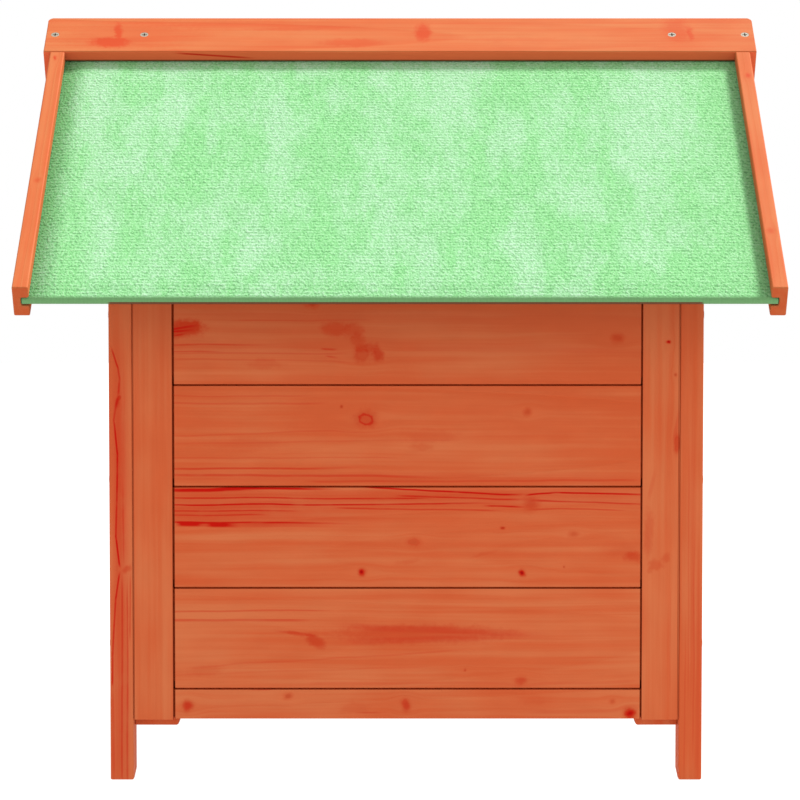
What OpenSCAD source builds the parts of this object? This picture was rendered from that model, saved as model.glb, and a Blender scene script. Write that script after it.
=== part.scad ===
// Small gabled pet kennel in stained softwood, with grooved roof rails that
// hold two felt-covered roof sheets. Millimetres, +Z up, +X towards the back
// gable, the entrance is in the gable at -X. The origin is on the ground under
// the middle of the roof.

/* [Roof] */
// Height of the ridge above the ground
ridge_h = 521; // [514:1:528]
// Pitch of both roof slopes in degrees
pitch = 35; // [34:0.5:36]
// Half span of the roof, from the ridge line to the eave
eave_half = 270.5; // [266:0.1:275]
// Length of the two ridge battens
ridge_len = 509; // [507:1:518]
// Face width of a ridge batten, down the slope
ridge_w = 45.4; // [43.5:0.1:47.5]
// Thickness of a ridge batten
ridge_t = 28; // [27:0.5:30]
// Radius of the outer corners of the ridge battens
ridge_round = 5; // [2:0.5:7]
// Half distance between the outer faces of the side rails
rail_half = 249.6; // [248.5:0.1:250.5]
// Width of a side rail
rail_w = 10.5; // [10:0.1:11]
// Depth of a side rail, square to the slope
rail_t = 22.8; // [22:0.1:25]
// Wood above the groove in the rails and ridge battens
groove_top = 8.5; // [8:0.1:9]
// Height of that groove
groove_h = 6.5; // [6.3:0.1:7]
// Depth of the groove in a side rail
groove_d = 5.2; // [4.8:0.1:5.4]
// Thickness of the roof sheet
deck_t = 3.5; // [3.2:0.1:3.6]
// Thickness of the felt that covers the roof sheet
felt_t = 1.2; // [1:0.1:1.3]
// Width of felt turned under the sheet at the eave
felt_turn = 17; // [10:1:25]

/* [Body] */
// X of the outer face of the front gable
front_x = -194; // [-196:0.1:-192]
// Length of the body over both gables
body_len = 396.2; // [394:0.1:398]
// Half width of the body over the side walls
body_half = 199; // [197:0.1:201]
// Thickness of the corner posts along the body
post_x = 15.5; // [15:0.1:16.5]
// Width of the corner posts across the body
post_y = 25; // [24:0.1:26]
// Rise of the bevel under the inner edge of each foot
foot_rise = 3.6; // [2:0.1:6]
// Flat width of each foot
foot_flat = 8; // [4:0.1:14]

/* [Side walls] */
// Height of the lower edge of the side boards
sill_z = 41.3; // [38:0.1:44]
// Height of the narrow lowest board
sill_h = 20.2; // [18:0.1:22]
// Height of one full board, with its joint
board_pitch = 67.9; // [67:0.1:68.2]
// Gap that shows at each joint
joint_gap = 1.2; // [0.6:0.1:1.6]
// Thickness of the side boards
side_t = 9.8; // [9.4:0.1:10]
// Width of the front stile
stile_front_w = 26.6; // [25:0.1:28]
// Width of the back stile
stile_back_w = 24.9; // [24:0.1:27]
// Thickness of the battens behind the stiles
batten_t = 12; // [10:0.5:12.5]

/* [Gables and floor] */
// Thickness of the gable boards
gable_t = 8; // [7.6:0.1:8.4]
// Depth of the rafters below the roof sheet
rafter_t = 30.3; // [28:0.1:32]
// Width of the entrance
door_w = 170; // [150:1:172]
// Height of the entrance sill
door_sill = 62; // [61:0.5:70]
// Height at which the entrance starts to arch
door_spring = 205; // [196:1:206]
// Thickness of the floor
floor_t = 8; // [6:0.5:8]
// Height of the top of the floor
floor_top = 60; // [58:0.5:60.5]

/* [Hidden] */
$fn = 64;

e = 0.01;             // overlap for clean cuts
c = 0.15;             // clearance between pieces that meet
ch = 0.06;            // clearance of a screw in its hole
wood = [0.80, 0.40, 0.20];
wood_dark = [0.66, 0.31, 0.15];
wood_pale = [0.86, 0.47, 0.26];
green = [0.62, 0.86, 0.62];
steel = [0.72, 0.70, 0.66];

tp = tan(pitch);
cp = cos(pitch);
eave_z = ridge_h - eave_half * tp;
u_top = eave_half / cp;                  // slope length, eave to ridge line
u_ridge = u_top - ridge_w;               // lower edge of the ridge batten
v_groove = -(groove_top + groove_h);
v_felt = -(groove_top + 0.5);            // top of the felt
v_deck = v_felt - felt_t;                // top of the roof sheet
v_under = v_deck - deck_t;               // underside of the roof sheet
sheet_half = rail_half - rail_w + groove_d - 0.5;
sheet_top_u = u_ridge + 6.5;
back_x = front_x + body_len;
post_in = body_half - post_y;            // inner face of the posts
panel_in = body_half - 10.2;             // inner face of the stiles
z1 = sill_z + sill_h;                    // first full joint
tongue_u = u_ridge + 23;                 // end of the tongue on a side rail
screw_u = u_top - ridge_w / 2;           // row of screws on the ridge battens
gx_front = front_x + 4.5 + 4 - gable_t / 2;
gx_back = back_x - 4.5 - 4 - gable_t / 2;
rafter_xc_front = front_x + post_x / 2 + 1.2;
rafter_xc_back = back_x - post_x / 2;
v_rafter = v_under - c;
v_rafter_low = v_under - rafter_t - 0.2;

function roof_z(y, v) = ridge_h - abs(y) * tp + v / cp;

// A slope's own frame: X along the ridge, Y up the slope from the eave,
// Z out of the roof. side -1 is the right slope, 1 the left.
module slope(side) {
  if (side < 0) translate([0, -eave_half, eave_z]) rotate([pitch, 0, 0]) children();
  else mirror([0, 1, 0]) translate([0, -eave_half, eave_z]) rotate([pitch, 0, 0]) children();
}
module on_side(side) {
  if (side < 0) children();
  else mirror([0, 1, 0]) children();
}
// A profile drawn in (Y, Z), extruded along X from x0
module along_x(x0, len) {
  translate([x0, 0, 0]) rotate([90, 0, 90]) linear_extrude(height = len) children();
}
module box(lo, hi) { translate(lo) cube(hi - lo); }

// Countersunk screw, head at the origin, pointing to -Z
module screw(len, rh = 2.9, rs = 1.25) {
  difference() {
    rotate_extrude() polygon([[0, 0], [rh, 0], [rh, -0.4], [rs, -2.6], [rs, 3 - len], [0, -len]]);
    box([-0.45, -1.9, -1.4], [0.45, 1.9, 1]);
    box([-1.9, -0.45, -1.4], [1.9, 0.45, 1]);
  }
}
module screw_hole(len, rh = 2.9, rs = 1.25) {
  rotate_extrude() polygon([[0, 2], [rh + ch, 2], [rh + ch, -0.4 - ch], [rs + ch, -2.6 - ch], [rs + ch, -len - 0.3], [0, -len - 0.3]]);
}

ridge_screw_len = 20;
ridge_screw_x = [-(rail_half - 1.7), front_x + 10.2, back_x - 6.7, rail_half - 1.7];
module at_ridge_screws(side) {
  for (x = ridge_screw_x) slope(side) translate([x, screw_u, -0.06]) children();
}
corner_screw_z = [92, 202, 312];
module at_corner_screws(x, side) {
  on_side(side) for (z = corner_screw_z)
    translate([x, -(body_half + panel_in) / 2, z]) rotate([0, x < 0 ? -90 : 90, 0])
      translate([0, 0, -0.15]) children();
}
floor_screw_x = [-150, 4, 158];
module at_floor_screws(side) {
  on_side(side) for (x = floor_screw_x) translate([x, -(fly - 7.5), floor_top - 0.15]) children();
}

// ---- corner posts -------------------------------------------------------
module post(x0, face_x, gx, side) {
  difference() {
    on_side(side) along_x(x0, post_x) polygon([
      [-body_half, 0], [-body_half + foot_flat, 0], [-post_in, foot_rise],
      [-post_in, roof_z(post_in, v_rafter)], [-body_half, roof_z(body_half, v_rafter)]]);
    // groove for the gable boards, stopped above the foot
    on_side(side) box([gx - 0.2, -post_in - 5, sill_z - 0.3], [gx + gable_t + 0.2, -post_in + 1, ridge_h]);
    at_corner_screws(face_x, side) screw_hole(34);
  }
}
module front_right_post() { color(wood) post(front_x, front_x, gx_front, -1); }
module front_left_post() { color(wood) post(front_x, front_x, gx_front, 1); }
module back_right_post() { color(wood) post(back_x - post_x, back_x, gx_back, -1); }
module back_left_post() { color(wood) post(back_x - post_x, back_x, gx_back, 1); }

// ---- side walls ---------------------------------------------------------
fs0 = front_x + post_x + 0.2;
fs1 = fs0 + stile_front_w;
bs1 = back_x - post_x - 0.2;
bs0 = bs1 - stile_back_w;
bx0 = fs1 + 0.9;                        // faces of the boards
bx1 = bs0 - 0.9;
by0 = -(body_half - 0.3);
by1 = by0 + side_t;
byc = by0 + side_t / 2;

module stile(x0, x1, front, side) {
  difference() {
    on_side(side) along_x(x0, x1 - x0) polygon([
      [-body_half, sill_z - 0.7], [-panel_in, sill_z - 0.7],
      [-panel_in, roof_z(panel_in, v_rafter)], [-body_half, roof_z(body_half, v_rafter)]]);
    // groove that takes the ends of the boards
    on_side(side) box([front ? x1 - 5.4 : x0 - 1, byc - 2.2, sill_z + 1.7], [front ? x1 + 1 : x0 + 5.4, byc + 2.2, ridge_h]);
    at_corner_screws(front ? front_x : back_x, side) screw_hole(34);
  }
}
module batten(x0, x1, round_x, side) {
  r = 2.2;
  y1 = -(panel_in - 0.2);
  y2 = y1 + batten_t;
  zb = sill_z - 5.8;
  difference() {
    on_side(side) along_x(x0, x1 - x0) polygon([
      [y1, zb], [y2, zb], [y2, roof_z(y2, v_rafter)], [y1, roof_z(y1, v_rafter)]]);
    // rounded lower inner corner
    on_side(side) difference() {
      box([round_x < 0 ? x0 - 1 : x1 - r, y1 - 1, zb - 1], [round_x < 0 ? x0 + r : x1 + 1, y2 + 1, zb + r]);
      translate([round_x < 0 ? x0 + r : x1 - r, y1 - 2, zb + r]) rotate([-90, 0, 0]) cylinder(r = r, h = batten_t + 4);
    }
  }
}
module side_board(k, side) {
  // k 0 is the narrow lowest board, 1 to 4 the full boards
  za = k == 0 ? sill_z : z1 + (k - 1) * board_pitch + joint_gap / 2;
  zb = (k == 0 ? z1 : z1 + k * board_pitch) - joint_gap / 2;
  on_side(side) difference() {
    union() {
      box([bx0, by0, za], [bx1, by1, zb]);
      // end tongues, started above the groove
      box([bx0 - 4.8, byc - 2, za + (k == 0 ? 2.2 : 4.4)], [bx1 + 4.8, byc + 2, zb]);
      box([bx0, byc - 1.6, zb - e], [bx1, byc + 1.6, zb + joint_gap + 3.5]);
    }
    if (k > 0) box([bx0 - 1, byc - 1.8, za - 1], [bx1 + 1, byc + 1.8, za + 4]);
  }
}
module top_plate(side) {
  za = z1 + 4 * board_pitch + joint_gap / 2;
  on_side(side) difference() {
    union() {
      along_x(bx0, bx1 - bx0) polygon([
        [by0, za], [by1, za], [by1, roof_z(by1, v_rafter)], [by0, roof_z(by0, v_rafter)]]);
      // end tongues, kept under the roof sheet
      box([bx0 - 4.8, byc - 2, za + 4.4], [bx1 + 4.8, byc + 2, min(za + 28, roof_z(byc - 2, v_rafter) - 1)]);
    }
    box([bx0 - 1, byc - 1.8, za - 1], [bx1 + 1, byc + 1.8, za + 4]);
  }
}
module right_front_stile() { color(wood) stile(fs0, fs1, true, -1); }
module right_back_stile() { color(wood) stile(bs0, bs1, false, -1); }
module left_front_stile() { color(wood) stile(fs0, fs1, true, 1); }
module left_back_stile() { color(wood) stile(bs0, bs1, false, 1); }
module right_front_batten() { color(wood_dark) batten(fs0, fs1 + 3, 1, -1); }
module right_back_batten() { color(wood_dark) batten(bs0 - 3.4, bs1, -1, -1); }
module left_front_batten() { color(wood_dark) batten(fs0, fs1 + 3, 1, 1); }
module left_back_batten() { color(wood_dark) batten(bs0 - 3.4, bs1, -1, 1); }
module right_sill_board() { color(wood) side_board(0, -1); }
module right_board_1() { color(wood) side_board(1, -1); }
module right_board_2() { color(wood) side_board(2, -1); }
module right_board_3() { color(wood) side_board(3, -1); }
module right_board_4() { color(wood) side_board(4, -1); }
module right_top_plate() { color(wood) top_plate(-1); }
module left_sill_board() { color(wood) side_board(0, 1); }
module left_board_1() { color(wood) side_board(1, 1); }
module left_board_2() { color(wood) side_board(2, 1); }
module left_board_3() { color(wood) side_board(3, 1); }
module left_board_4() { color(wood) side_board(4, 1); }
module left_top_plate() { color(wood) top_plate(1); }

// ---- gables -------------------------------------------------------------
module rafter(x0, gx, xc, side) {
  difference() {
    intersection() {
      slope(side) union() {
        box([x0, 40, v_rafter_low], [x0 + post_x, u_ridge - 0.3, v_rafter]);
        box([x0, 40, v_rafter_low], [x0 + post_x, u_top + 40, -ridge_t - 0.2]);
        // tongue that stands in a housing under the ridge batten
        box([xc - 4, u_ridge + 9, -ridge_t - 4], [xc + 4, u_top - 11, -13.2]);
      }
      on_side(side) box([x0 - 1, -post_in + 0.1, 100], [x0 + post_x + 1, -0.1, ridge_h]);
    }
    // groove for the gable boards
    slope(side) box([gx - 0.2, 0, v_rafter_low - 1], [gx + gable_t + 0.2, u_top + 60, v_rafter_low + 5]);
    at_ridge_screws(side) screw_hole(ridge_screw_len);
  }
}
v_gable = v_rafter_low + 4.7;
module gable_row(gx, row) {
  // rows 1 to 6 from the bottom, each with a tongue on top and a groove below
  za = sill_z + (row - 1) * board_pitch + (row > 1 ? joint_gap / 2 : 0);
  zb = row < 6 ? sill_z + row * board_pitch - joint_gap / 2 : ridge_h;
  xc = gx + gable_t / 2;
  difference() {
    union() {
      box([gx, -post_in - 4.7, za], [gx + gable_t, post_in + 4.7, zb]);
      if (row < 6) box([xc - 1.4, -post_in - 4.7, zb - e], [xc + 1.4, post_in + 4.7, zb + joint_gap + 3.2]);
    }
    if (row > 1) box([xc - 1.6, -post_in - 9, za - 1], [xc + 1.6, post_in + 9, za + 3.7]);
    for (s = [-1, 1]) slope(s) box([gx - 5, -60, v_gable], [gx + gable_t + 5, u_top + 80, 200]);
  }
}
module doorway() {
  box([front_x - 5, -door_w / 2, door_sill], [front_x + 40, door_w / 2, door_spring]);
  translate([front_x - 5, 0, door_spring]) rotate([0, 90, 0]) cylinder(d = door_w, h = 45, $fn = 96);
}
module half(side) {
  on_side(side) box([front_x - 5, -300, -1], [front_x + 40, 0, ridge_h + 1]);
}
module front_right_rafter() { color(wood) rafter(front_x, gx_front, rafter_xc_front, -1); }
module front_left_rafter() { color(wood) rafter(front_x, gx_front, rafter_xc_front, 1); }
module back_right_rafter() { color(wood) rafter(back_x - post_x, gx_back, rafter_xc_back, -1); }
module back_left_rafter() { color(wood) rafter(back_x - post_x, gx_back, rafter_xc_back, 1); }
module front_row(row) { difference() { gable_row(gx_front, row); doorway(); } }
module front_sill_board() { color(wood) front_row(1); }
module front_right_board_2() { color(wood) intersection() { front_row(2); half(-1); } }
module front_left_board_2() { color(wood) intersection() { front_row(2); half(1); } }
module front_right_board_3() { color(wood) intersection() { front_row(3); half(-1); } }
module front_left_board_3() { color(wood) intersection() { front_row(3); half(1); } }
module front_arch_board() { color(wood) front_row(4); }
module front_upper_board() { color(wood) gable_row(gx_front, 5); }
module front_peak_board() { color(wood) gable_row(gx_front, 6); }
module door_jamb(side) {
  on_side(side) box([gx_front + gable_t + 0.2, -door_w / 2 - 19, floor_top + 0.4], [gx_front + gable_t + 12.2, -door_w / 2 - 1, 330]);
}
module right_door_jamb() { color(wood_dark) door_jamb(-1); }
module left_door_jamb() { color(wood_dark) door_jamb(1); }
module back_board_1() { color(wood) gable_row(gx_back, 1); }
module back_board_2() { color(wood) gable_row(gx_back, 2); }
module back_board_3() { color(wood) gable_row(gx_back, 3); }
module back_board_4() { color(wood) gable_row(gx_back, 4); }
module back_board_5() { color(wood) gable_row(gx_back, 5); }
module back_peak_board() { color(wood) gable_row(gx_back, 6); }

// ---- floor --------------------------------------------------------------
fl0 = gx_front + gable_t + 0.3;
fl1 = gx_back - 0.3;
fly = min(panel_in - 0.2 - batten_t, post_in) - 0.3;
module floor_panel() {
  // notched round the four inner battens
  color(wood_pale) difference() {
    union() {
      box([fl0, -fly, floor_top - floor_t], [fl1, fly, floor_top]);
      box([fs1 + 3.4, -panel_in + 0.5, floor_top - floor_t], [bs0 - 3.8, panel_in - 0.5, floor_top]);
    }
    for (s = [-1, 1]) at_floor_screws(s) screw_hole(15);
  }
}
module floor_bearer(side) {
  difference() {
    on_side(side) box([fl0, -fly, floor_top - floor_t - 10.05], [fl1, -fly + 15, floor_top - floor_t - 0.05]);
    at_floor_screws(side) screw_hole(15);
  }
}
module right_floor_bearer() { color(wood_dark) floor_bearer(-1); }
module left_floor_bearer() { color(wood_dark) floor_bearer(1); }

// ---- roof ---------------------------------------------------------------
module roof_sheet(side) {
  slope(side) box([-sheet_half, felt_t + 0.05, v_under + 0.02], [sheet_half, sheet_top_u, v_deck - 0.02]);
}
module roof_felt(side) {
  // covers the sheet, wraps its eave edge and turns back underneath
  slope(side) along_x(-sheet_half, 2 * sheet_half) polygon([
    [0, v_felt], [sheet_top_u, v_felt], [sheet_top_u, v_deck], [felt_t, v_deck],
    [felt_t, v_under], [felt_turn, v_under], [felt_turn, v_under - 1], [0, v_under - 1]]);
}
module rail(x0, side) {
  gx0 = x0 > 0 ? x0 - 1 : x0 + rail_w - groove_d;
  difference() {
    slope(side) union() {
      box([x0, 0, -rail_t], [x0 + rail_w, u_ridge - 0.2, 0]);
      // tongue that enters the ridge batten
      box([x0, u_ridge - 1, -18], [x0 + rail_w, tongue_u, -groove_top - 0.2]);
    }
    // groove for the roof sheet, open at the eave
    slope(side) box([gx0, -1, v_groove], [gx0 + groove_d + 1, u_ridge + 7, -groove_top]);
    at_ridge_screws(side) screw_hole(ridge_screw_len);
  }
}
module ridge_batten(side) {
  plumb = ridge_t * tp;
  difference() {
    slope(side) along_x(-ridge_len / 2, ridge_len) polygon([
      [u_ridge, 0], [u_top - 0.13, 0], [u_top - 0.13 - plumb, -ridge_t], [u_ridge, -ridge_t]]);
    // groove for the roof sheet
    slope(side) box([-rail_half, u_ridge - 1, v_groove], [rail_half, u_ridge + 8, -groove_top]);
    // mortises for the rails
    for (x = [-rail_half, rail_half - rail_w])
      slope(side) box([x - 0.3, u_ridge - 1, -18.3], [x + rail_w + 0.3, tongue_u + 0.4, -groove_top]);
    // rounded ends at the ridge line
    for (m = [0, 1]) slope(side) mirror([m, 0, 0]) difference() {
      box([ridge_len / 2 - ridge_round, u_top - ridge_round, -ridge_t - 1], [ridge_len / 2 + 1, u_top + 1, 1]);
      translate([ridge_len / 2 - ridge_round, u_top - ridge_round, -ridge_t - 2]) cylinder(r = ridge_round, h = ridge_t + 4);
    }
    // housings for the rafters
    for (x = [rafter_xc_front, rafter_xc_back])
      slope(side) box([x - 4.2, u_ridge + 8.8, -ridge_t - 1], [x + 4.2, u_top, -13]);
    at_ridge_screws(side) screw_hole(ridge_screw_len);
  }
}
module right_roof_sheet() { color(wood_pale) roof_sheet(-1); }
module left_roof_sheet() { color(wood_pale) roof_sheet(1); }
module right_roof_felt() { color(green) roof_felt(-1); }
module left_roof_felt() { color(green) roof_felt(1); }
module right_front_rail() { color(wood) rail(-rail_half, -1); }
module right_back_rail() { color(wood) rail(rail_half - rail_w, -1); }
module left_front_rail() { color(wood) rail(-rail_half, 1); }
module left_back_rail() { color(wood) rail(rail_half - rail_w, 1); }
module right_ridge_batten() { color(wood) ridge_batten(-1); }
module left_ridge_batten() { color(wood) ridge_batten(1); }

// ---- fasteners ----------------------------------------------------------
module ridge_screws() { color(steel) for (s = [-1, 1]) at_ridge_screws(s) screw(ridge_screw_len); }
module corner_screws() { color(steel) for (s = [-1, 1], x = [front_x, back_x]) at_corner_screws(x, s) screw(34); }
module floor_screws() { color(steel) for (s = [-1, 1]) at_floor_screws(s) screw(15); }

front_right_post();
front_left_post();
back_right_post();
back_left_post();
right_front_stile();
right_back_stile();
right_front_batten();
right_back_batten();
right_sill_board();
right_board_1();
right_board_2();
right_board_3();
right_board_4();
right_top_plate();
left_front_stile();
left_back_stile();
left_front_batten();
left_back_batten();
left_sill_board();
left_board_1();
left_board_2();
left_board_3();
left_board_4();
left_top_plate();
front_right_rafter();
front_left_rafter();
front_sill_board();
front_right_board_2();
front_left_board_2();
front_right_board_3();
front_left_board_3();
front_arch_board();
front_upper_board();
front_peak_board();
right_door_jamb();
left_door_jamb();
back_right_rafter();
back_left_rafter();
back_board_1();
back_board_2();
back_board_3();
back_board_4();
back_board_5();
back_peak_board();
floor_panel();
right_floor_bearer();
left_floor_bearer();
right_roof_sheet();
left_roof_sheet();
right_roof_felt();
left_roof_felt();
right_front_rail();
right_back_rail();
left_front_rail();
left_back_rail();
right_ridge_batten();
left_ridge_batten();
ridge_screws();
corner_screws();
floor_screws();
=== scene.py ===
import math
import random

import bpy
import bmesh
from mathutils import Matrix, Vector


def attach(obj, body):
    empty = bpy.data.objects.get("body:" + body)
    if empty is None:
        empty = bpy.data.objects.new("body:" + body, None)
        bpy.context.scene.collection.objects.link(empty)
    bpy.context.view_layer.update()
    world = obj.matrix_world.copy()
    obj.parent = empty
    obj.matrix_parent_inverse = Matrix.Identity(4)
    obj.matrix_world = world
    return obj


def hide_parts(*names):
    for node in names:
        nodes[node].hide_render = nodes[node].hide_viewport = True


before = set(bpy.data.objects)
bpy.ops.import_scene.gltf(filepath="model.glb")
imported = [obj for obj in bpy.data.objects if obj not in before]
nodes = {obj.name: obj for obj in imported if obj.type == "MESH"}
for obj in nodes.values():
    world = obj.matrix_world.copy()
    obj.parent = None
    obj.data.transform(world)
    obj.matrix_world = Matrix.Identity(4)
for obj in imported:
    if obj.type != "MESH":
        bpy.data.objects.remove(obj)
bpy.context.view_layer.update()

scene = bpy.context.scene

# ---------------------------------------------------------------------------
# Sizes that the materials and the felt share with the CAD model, in mm
# ---------------------------------------------------------------------------
PITCH = math.radians(35)
CP, SP = math.cos(PITCH), math.sin(PITCH)
EAVE_HALF = 270.5
EAVE_Z = 521 - EAVE_HALF * math.tan(PITCH)
U_TOP = EAVE_HALF / CP
V_FELT, V_DECK, V_UNDER = -9.0, -10.2, -13.7
SHEET_HALF, SHEET_TOP_U = 243.8, 291.3
UP_R, UP_L = (0, CP, SP), (0, -CP, SP)           # up the right and left slope
OUT_R, OUT_L = (0, -SP, CP), (0, SP, CP)         # out of the right and left slope
X, Y, Z = (1, 0, 0), (0, 1, 0), (0, 0, 1)


def dot(a, b):
    return sum(p * q for p, q in zip(a, b))


def cross(a, b):
    return (a[1] * b[2] - a[2] * b[1], a[2] * b[0] - a[0] * b[2], a[0] * b[1] - a[1] * b[0])


# ---------------------------------------------------------------------------
# Small helper for node graphs: numbers and vectors that add up like values
# ---------------------------------------------------------------------------
class Num:
    def __init__(self, g, s):
        self.g, self.s = g, s

    def __add__(self, o):
        return self.g.math("ADD", self, o)

    __radd__ = __add__

    def __sub__(self, o):
        return self.g.math("SUBTRACT", self, o)

    def __rsub__(self, o):
        return self.g.math("SUBTRACT", o, self)

    def __mul__(self, o):
        return self.g.math("MULTIPLY", self, o)

    __rmul__ = __mul__

    def __truediv__(self, o):
        return self.g.math("DIVIDE", self, o)

    def __pow__(self, o):
        return self.g.math("POWER", self, o)


class Graph:
    def __init__(self, name):
        self.mat = bpy.data.materials.new(name)
        self.mat.use_nodes = True
        self.nt = self.mat.node_tree
        self.nt.nodes.clear()
        self.out = self.node("ShaderNodeOutputMaterial")

    def node(self, kind, **props):
        n = self.nt.nodes.new(kind)
        for k, v in props.items():
            setattr(n, k, v)
        return n

    def put(self, socket, value):
        if isinstance(value, Num):
            self.nt.links.new(value.s, socket)
        else:
            socket.default_value = value

    def math(self, op, *args, clamp=False):
        n = self.node("ShaderNodeMath", operation=op, use_clamp=clamp)
        for i, a in enumerate(args):
            self.put(n.inputs[i], a)
        return Num(self, n.outputs[0])

    def vec(self, op, *args):
        n = self.node("ShaderNodeVectorMath", operation=op)
        for i, a in enumerate(args):
            self.put(n.inputs[i], a)
        return Num(self, n.outputs["Value" if op in ("DOT_PRODUCT", "LENGTH", "DISTANCE") else "Vector"])

    def scaled(self, v, k):
        n = self.node("ShaderNodeVectorMath", operation="SCALE")
        self.put(n.inputs[0], v)
        n.inputs["Scale"].default_value = k
        return Num(self, n.outputs["Vector"])

    def xyz(self, x, y, z):
        n = self.node("ShaderNodeCombineXYZ")
        for i, a in enumerate((x, y, z)):
            self.put(n.inputs[i], a)
        return Num(self, n.outputs[0])

    def noise(self, v, detail=2.0, rough=0.5, distortion=0.0):
        n = self.node("ShaderNodeTexNoise")
        self.put(n.inputs["Vector"], v)
        n.inputs["Scale"].default_value = 1.0
        n.inputs["Detail"].default_value = detail
        n.inputs["Roughness"].default_value = rough
        n.inputs["Distortion"].default_value = distortion
        return Num(self, n.outputs[0])

    def white(self, v, dims="1D"):
        n = self.node("ShaderNodeTexWhiteNoise", noise_dimensions=dims)
        self.put(n.inputs["W" if dims == "1D" else "Vector"], v)
        return Num(self, n.outputs["Value"])

    def ranged(self, x, lo, hi, a=0.0, b=1.0, kind="SMOOTHSTEP"):
        n = self.node("ShaderNodeMapRange", interpolation_type=kind)
        for i, v in enumerate((x, lo, hi, a, b)):
            self.put(n.inputs[i], v)
        return Num(self, n.outputs[0])

    def lin(self, x, lo, hi, a=0.0, b=1.0):
        return self.ranged(x, lo, hi, a, b, "LINEAR")

    def mix(self, fac, a, b):
        n = self.node("ShaderNodeMix", data_type="RGBA")
        self.put(n.inputs[0], fac)
        for i, v in ((6, a), (7, b)):
            self.put(n.inputs[i], v if isinstance(v, Num) else (*v, 1.0))
        return Num(self, n.outputs[2])

    def shade(self, col, k):
        """col times k, for a number k"""
        n = self.node("ShaderNodeMix", data_type="RGBA", blend_type="MULTIPLY")
        n.inputs[0].default_value = 1.0
        self.put(n.inputs[6], col)
        self.put(n.inputs[7], self.xyz(k, k, k))
        return Num(self, n.outputs[2])

    def position(self):
        """object position in mm"""
        return self.scaled(Num(self, self.node("ShaderNodeTexCoord").outputs["Object"]), 1000.0)

    def bump(self, height, distance):
        n = self.node("ShaderNodeBump")
        n.inputs["Strength"].default_value = 1.0
        n.inputs["Distance"].default_value = distance
        self.put(n.inputs["Height"], height)
        return Num(self, n.outputs[0])

    def principled(self, col, rough, normal=None, **fixed):
        b = self.node("ShaderNodeBsdfPrincipled")
        self.put(b.inputs["Base Color"], col if isinstance(col, Num) else (*col, 1.0))
        self.put(b.inputs["Roughness"], rough)
        if normal is not None:
            self.put(b.inputs["Normal"], normal)
        for k, v in fixed.items():
            b.inputs[k.replace("_", " ")].default_value = v
        self.nt.links.new(b.outputs[0], self.out.inputs["Surface"])
        return self.mat


# ---------------------------------------------------------------------------
# Stained softwood
# ---------------------------------------------------------------------------
PALE = (0.662, 0.170, 0.062)
WARM = (0.631, 0.112, 0.035)
LATE = (0.585, 0.070, 0.017)
BLOT = (0.556, 0.050, 0.011)
CORE = (0.440, 0.044, 0.010)
RED = (0.545, 0.006, 0.001)


def knot(l, w, r, ex=1.0, core=0.5, red=0.3, halo=0.5, ring=0.5, turn=0.85, reach=1.0, pit=0.0):
    """A knot at l along and w across the grain, of radius r in mm, ex times longer along the grain"""
    return dict(l=l, w=w, r=r, ex=ex, core=core, red=red, halo=halo, ring=ring, turn=turn, reach=reach, pit=pit)


def dot_knot(l, w, r, red=1.0, ex=1.0):
    """A small pin knot, soaked red"""
    return knot(l, w, r, ex=ex, core=0.3, red=red, halo=0.6, ring=0.0, turn=0.8, reach=1.4, pit=0.85)


def blot(l, w, r, ex=1.0, deep=0.5, red=0.0, lean=0.0):
    """A soft smudge of darker wood; lean is the slope of its long side"""
    return dict(l=l, w=w, r=r, ex=ex, deep=deep, red=red, lean=lean)


def streak(l0, l1, w0, w1=None, thick=0.5, red=0.6, fade=12.0, waver=0.5):
    """A line that follows the grain from (l0, w0) to (l1, w1)"""
    return dict(l0=l0, l1=l1, w0=w0, w1=w0 if w1 is None else w1, thick=thick, red=red, fade=fade, waver=waver)


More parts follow.
